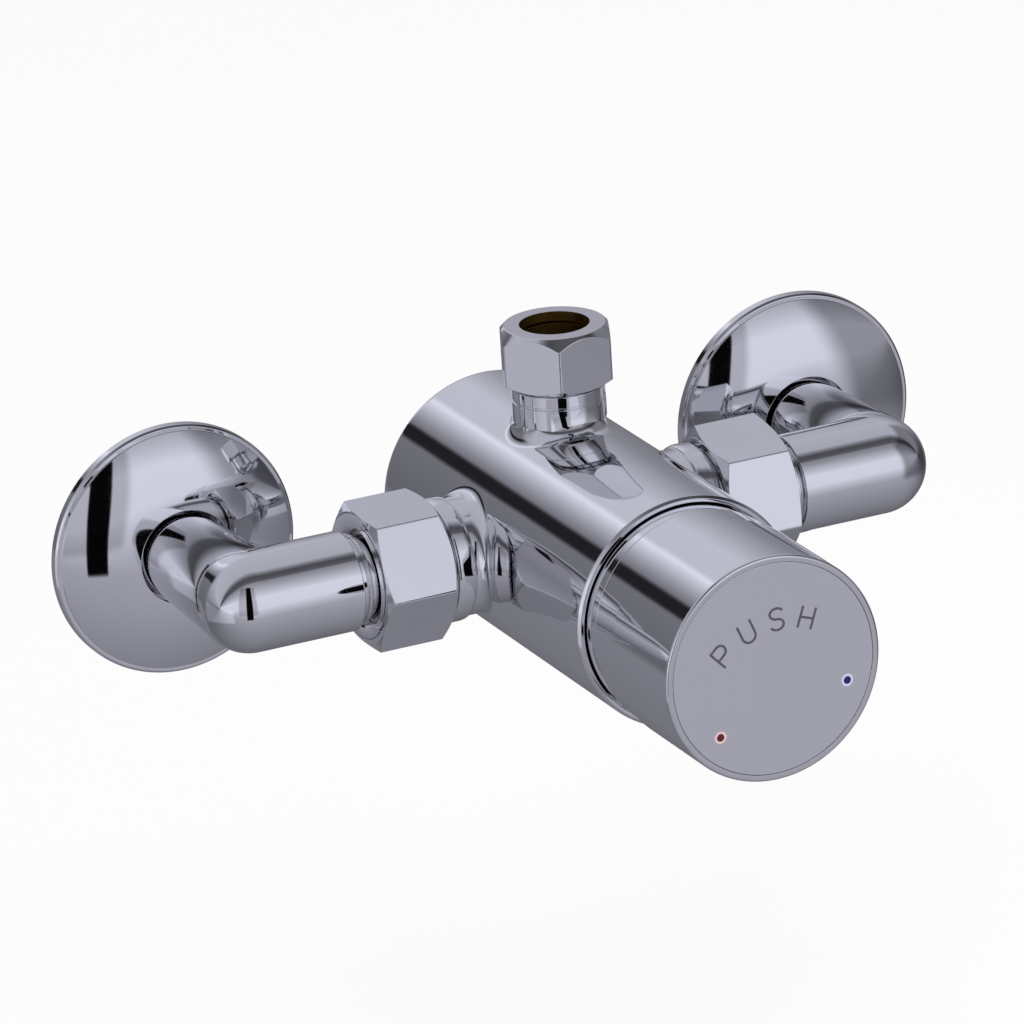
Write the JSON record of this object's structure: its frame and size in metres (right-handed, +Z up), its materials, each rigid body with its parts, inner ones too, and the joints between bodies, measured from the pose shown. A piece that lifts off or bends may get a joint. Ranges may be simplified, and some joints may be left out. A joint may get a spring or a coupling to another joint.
{
  "type": "timed shower mixer",
  "caption": "Chrome wall-mounted self-closing push mixer: round body, push and turn knob in front, hexagon unions and elbows to the wall, compression outlet on top.",
  "frame": {"origin": "on the wall plane, midway between the two threaded wall tails, at the height of the valve's axis", "axes": "+X to the right as seen from in front, along the line of the inlets; +Y into the wall, along the valve's axis; +Z up, along the outlet"},
  "size_m": [0.206, 0.151, 0.0756],
  "materials": {
    "chrome": "polished chrome plate on brass",
    "satin": "fine satin chrome",
    "brass": "turned, unplated",
    "rubber": "smooth",
    "steel": "stainless, fine",
    "white_plastic": "moulded, smooth",
    "dark_plastic": "moulded, smooth",
    "red": "enamel",
    "blue": "enamel"
  },
  "bodies": {
    "valve": {"valve_body": "chrome", "cartridge_body": "brass", "cartridge_o_rings": "rubber", "cartridge_clamp_nut": "brass", "cartridge_cap": "brass", "spindle_o_rings": "rubber", "stop_ring": "dark_plastic", "return_spring": "steel", "outlet_nut": "chrome", "outlet_olive": "brass", "left_union_nut": "chrome", "left_nut_ring": "steel", "left_union_washer": "rubber", "left_inlet_filter": "steel", "left_check_valve_cage": "white_plastic", "left_check_valve_spring": "steel", "left_elbow": "chrome", "left_wall_flange": "chrome", "right_union_nut": "chrome", "right_nut_ring": "steel", "right_union_washer": "rubber", "right_inlet_filter": "steel", "right_check_valve_cage": "white_plastic", "right_check_valve_spring": "steel", "right_elbow": "chrome", "right_wall_flange": "chrome"},
    "mixer": {"mixing_spool": "white_plastic"},
    "knob": {"knob_shell": "chrome", "knob_sleeve": "chrome", "knob_face_plate": "satin", "hot_mark": "red", "cold_mark": "blue", "knob_screw": "steel", "spindle": "steel", "main_seal": "rubber", "timing_piston": "white_plastic", "piston_seal": "rubber"},
    "left_poppet": {"left_check_valve_poppet": "white_plastic"},
    "right_poppet": {"right_check_valve_poppet": "white_plastic"}
  },
  "joints": [
    {"name": "temperature_turn", "type": "hinge", "parent": "valve", "child": "mixer", "pos_m": [0, 0, 0], "axis": [0, -1, 0], "range_deg": [-70, 46]},
    {"name": "knob_push", "type": "slide", "parent": "mixer", "child": "knob", "axis": [0, 1, 0], "range_m": [0, 0.0045], "stiffness_N_per_m": 1500, "springref_m": -0.008, "deforming": ["return_spring"]},
    {"name": "left_check_valve", "type": "slide", "parent": "valve", "child": "left_poppet", "axis": [1, 0, 0], "range_m": [0, 0.0025], "stiffness_N_per_m": 60, "springref_m": -0.001, "deforming": ["left_check_valve_spring"]},
    {"name": "right_check_valve", "type": "slide", "parent": "valve", "child": "right_poppet", "axis": [-1, 0, 0], "range_m": [0, 0.0025], "stiffness_N_per_m": 60, "springref_m": -0.001, "deforming": ["right_check_valve_spring"]}
  ]
}
